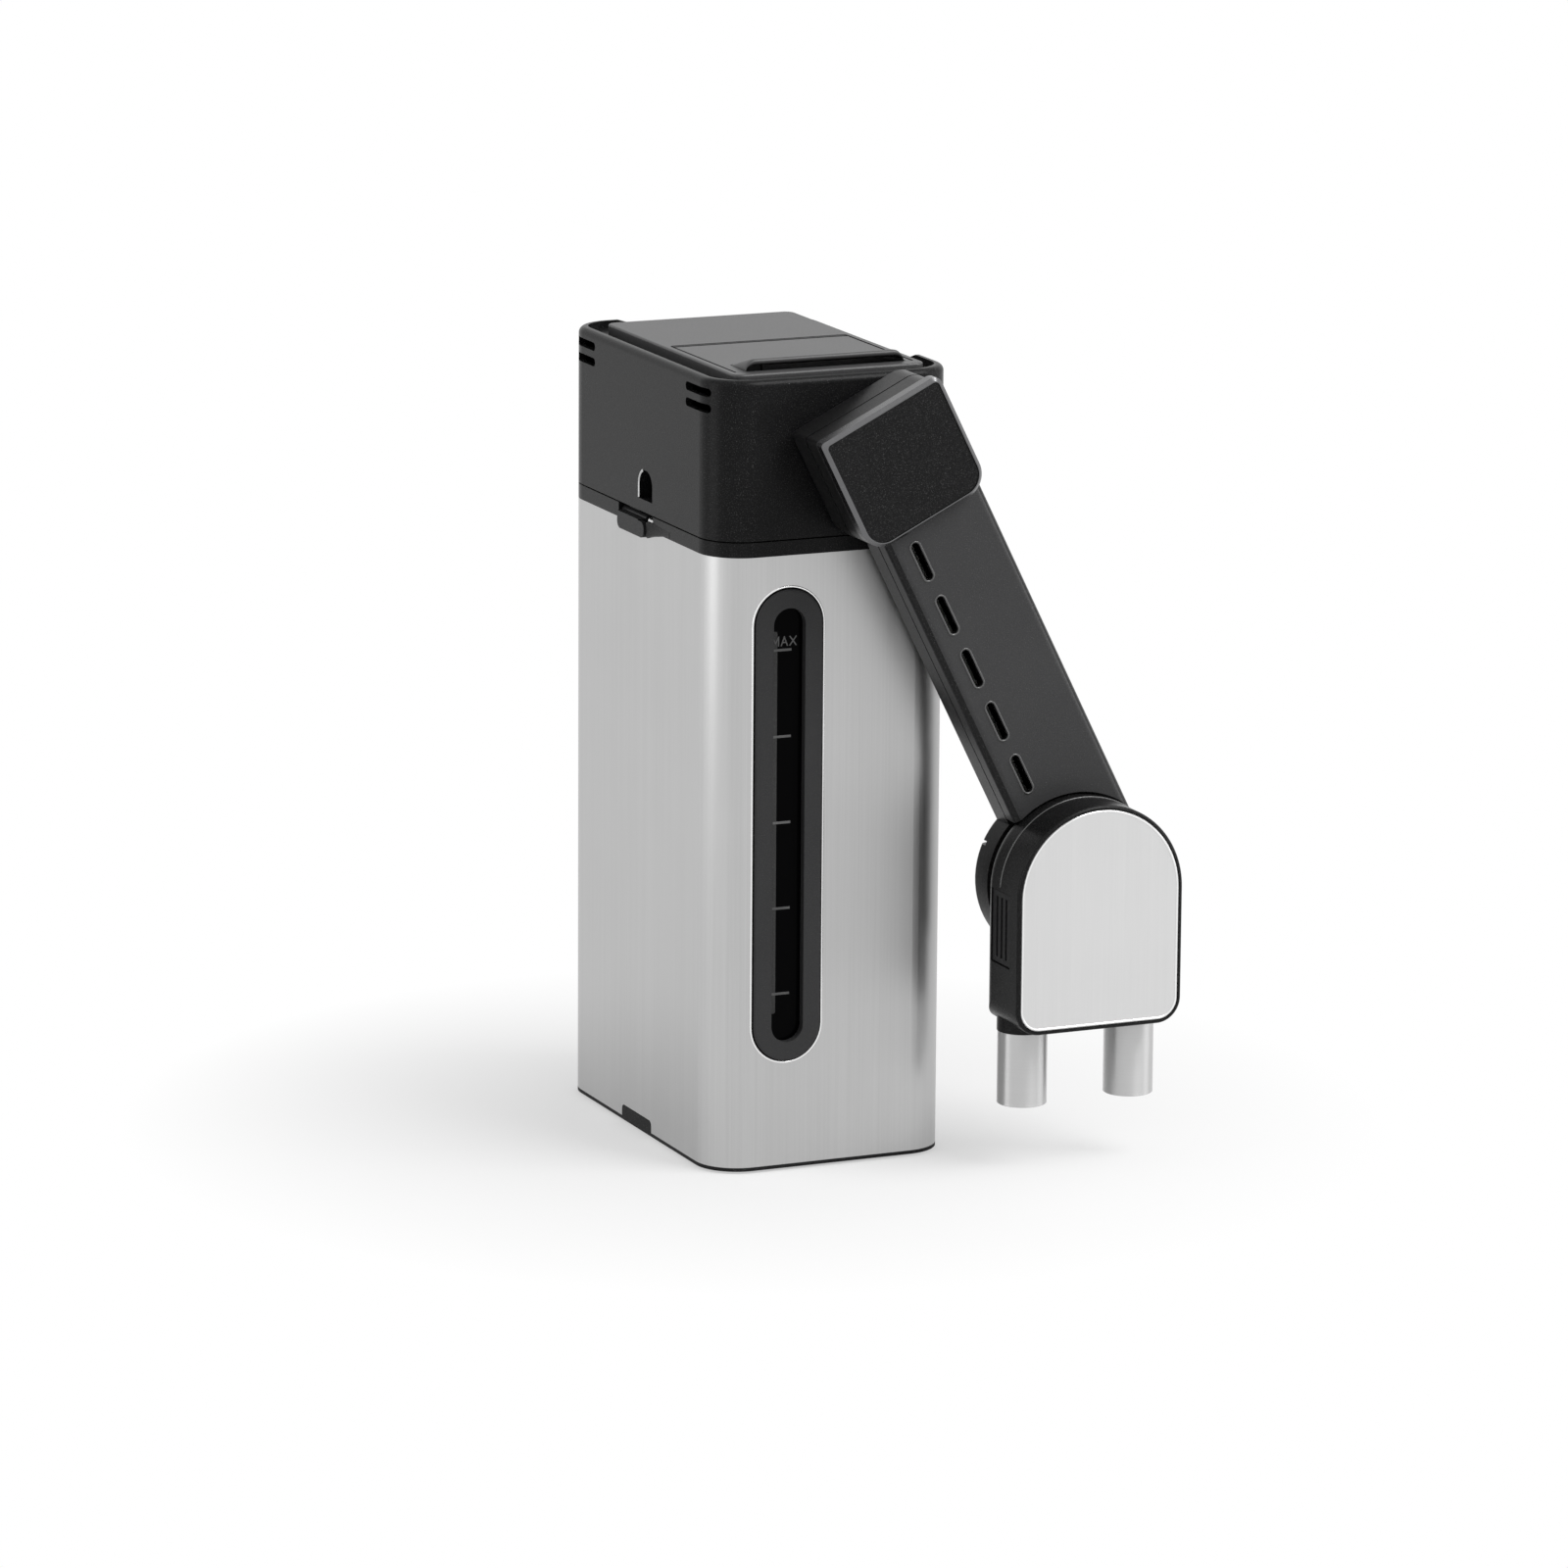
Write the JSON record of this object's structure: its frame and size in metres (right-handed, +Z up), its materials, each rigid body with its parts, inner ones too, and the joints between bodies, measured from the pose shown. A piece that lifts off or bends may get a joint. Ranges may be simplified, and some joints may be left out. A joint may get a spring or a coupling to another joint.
{
  "type": "sous vide circulator",
  "caption": "Upright steel-clad water tank with a black lift-off head, hinged fill flap, level window and a jointed swing arm that carries a twin-tube outlet over a pot.",
  "frame": {"origin": "middle of the tank's base, on the underside of its base pad", "axes": "+X along the window face towards the outlet, +Y away from the window face, +Z up"},
  "size_m": [0.1703, 0.1919, 0.3],
  "materials": {
    "brushed_cladding": "vertical brushed stainless",
    "base_black": "matt moulded",
    "pad_rubber": "matt rubber",
    "liner_plastic": "translucent grey moulding",
    "bezel_black": "fine satin",
    "smoked_pane": "smoked clear",
    "seal_rubber": "soft silicone",
    "mark_white": "printed",
    "head_black": "fine-grained moulded",
    "latch_black": "satin moulded",
    "bright_steel": "bright drawn",
    "screw_steel": "zinc plated",
    "inner_plastic": "natural moulding",
    "lid_black": "fine-grained moulded",
    "socket_black": "moulded",
    "pin_brass": "plain",
    "motor_steel": "rolled can",
    "heater_aluminium": "die cast",
    "board_green": "solder mask",
    "bush_plastic": "low-friction moulding",
    "hose_silicone": "soft silicone",
    "arm_black": "fine-grained moulded",
    "cap_satin": "satin",
    "cap_dark": "soft gloss",
    "spout_black": "satin gloss",
    "plate_steel": "fine brushed",
    "tube_steel": "polished"
  },
  "bodies": {
    "tank": {"steel_sleeve": "brushed_cladding", "base_pan": "base_black", "base_pad": "pad_rubber", "tank_liner": "liner_plastic", "window_bezel": "bezel_black", "window_pane": "smoked_pane", "window_gasket": "seal_rubber", "window_clamp": "liner_plastic", "level_marks": "mark_white", "tank_collar": "head_black", "collar_seal": "seal_rubber", "latch_pin": "bright_steel", "latch_spring": "bright_steel"},
    "latch": {"latch_lever": "latch_black"},
    "head": {"head_shell": "head_black", "head_floor": "inner_plastic", "head_screws": "screw_steel", "top_lid": "lid_black", "flap_pin": "bright_steel", "fill_duct": "inner_plastic", "probe_socket": "socket_black", "mains_inlet": "socket_black", "inlet_pins": "pin_brass", "pump_housing": "inner_plastic", "pump_motor": "motor_steel", "intake_tube": "inner_plastic", "intake_strainer": "inner_plastic", "flow_heater": "heater_aluminium", "temp_sensor": "bright_steel", "control_board": "board_green", "shoulder_bush": "bush_plastic", "shoulder_union": "inner_plastic", "pump_hose": "hose_silicone", "supply_hose": "hose_silicone", "return_hose": "hose_silicone"},
    "flap": {"fill_flap": "lid_black"},
    "rotor": {"pump_rotor": "inner_plastic"},
    "arm": {"arm_back_shell": "arm_black", "arm_front_cover": "arm_black", "arm_screws": "screw_steel", "cap_frame": "cap_satin", "cap_panel": "cap_dark", "shoulder_spindle": "bush_plastic", "shoulder_nut": "bush_plastic", "elbow_plate": "arm_black", "elbow_manifold": "inner_plastic", "arm_hoses": "hose_silicone"},
    "spout": {"spout_back_shell": "spout_black", "spout_front_shell": "spout_black", "spout_screws": "screw_steel", "face_plate": "plate_steel", "elbow_spindle": "bush_plastic", "elbow_ring": "bright_steel", "spout_manifold": "inner_plastic", "supply_tube": "tube_steel", "return_tube": "tube_steel", "tube_collars": "spout_black", "clip_springs": "bright_steel"},
    "clip_left": {"release_clip_left": "latch_black"},
    "clip_right": {"release_clip_right": "latch_black"}
  },
  "joints": [
    {"name": "head_lift", "type": "slide", "parent": "tank", "child": "head", "axis": [0, 0, 1], "range_m": [0, 0.23]},
    {"name": "latch_turn", "type": "hinge", "parent": "tank", "child": "latch", "pos_m": [-0.045, 0.0035, 0.2344], "axis": [0, 1, 0], "range_deg": [0, 15], "stiffness_Nm_per_rad": 0.05, "springref_deg": -11.46},
    {"name": "flap_hinge", "type": "hinge", "parent": "head", "child": "flap", "pos_m": [0, -0.00282, 0.29678], "axis": [-1, 0, 0], "range_deg": [0, 98]},
    {"name": "pump_spin", "type": "hinge", "parent": "head", "child": "rotor", "pos_m": [-0.022, 0.036, 0.2485], "axis": [0, 0, 1], "continuous": true},
    {"name": "arm_swing", "type": "hinge", "parent": "head", "child": "arm", "pos_m": [0.01337, -0.0725, 0.26857], "axis": [0, -1, 0], "range_deg": [-10, 60]},
    {"name": "spout_tilt", "type": "hinge", "parent": "arm", "child": "spout", "pos_m": [0.0868, -0.0885, 0.1055], "axis": [0, -1, 0], "range_deg": [-55, 30]},
    {"name": "clip_left_press", "type": "slide", "parent": "spout", "child": "clip_left", "axis": [1, 0, 0], "range_m": [0, 0.002], "stiffness_N_per_m": 800, "springref_m": -0.002},
    {"name": "clip_right_press", "type": "slide", "parent": "spout", "child": "clip_right", "axis": [-1, 0, 0], "range_m": [0, 0.002], "stiffness_N_per_m": 800, "springref_m": -0.002}
  ]
}
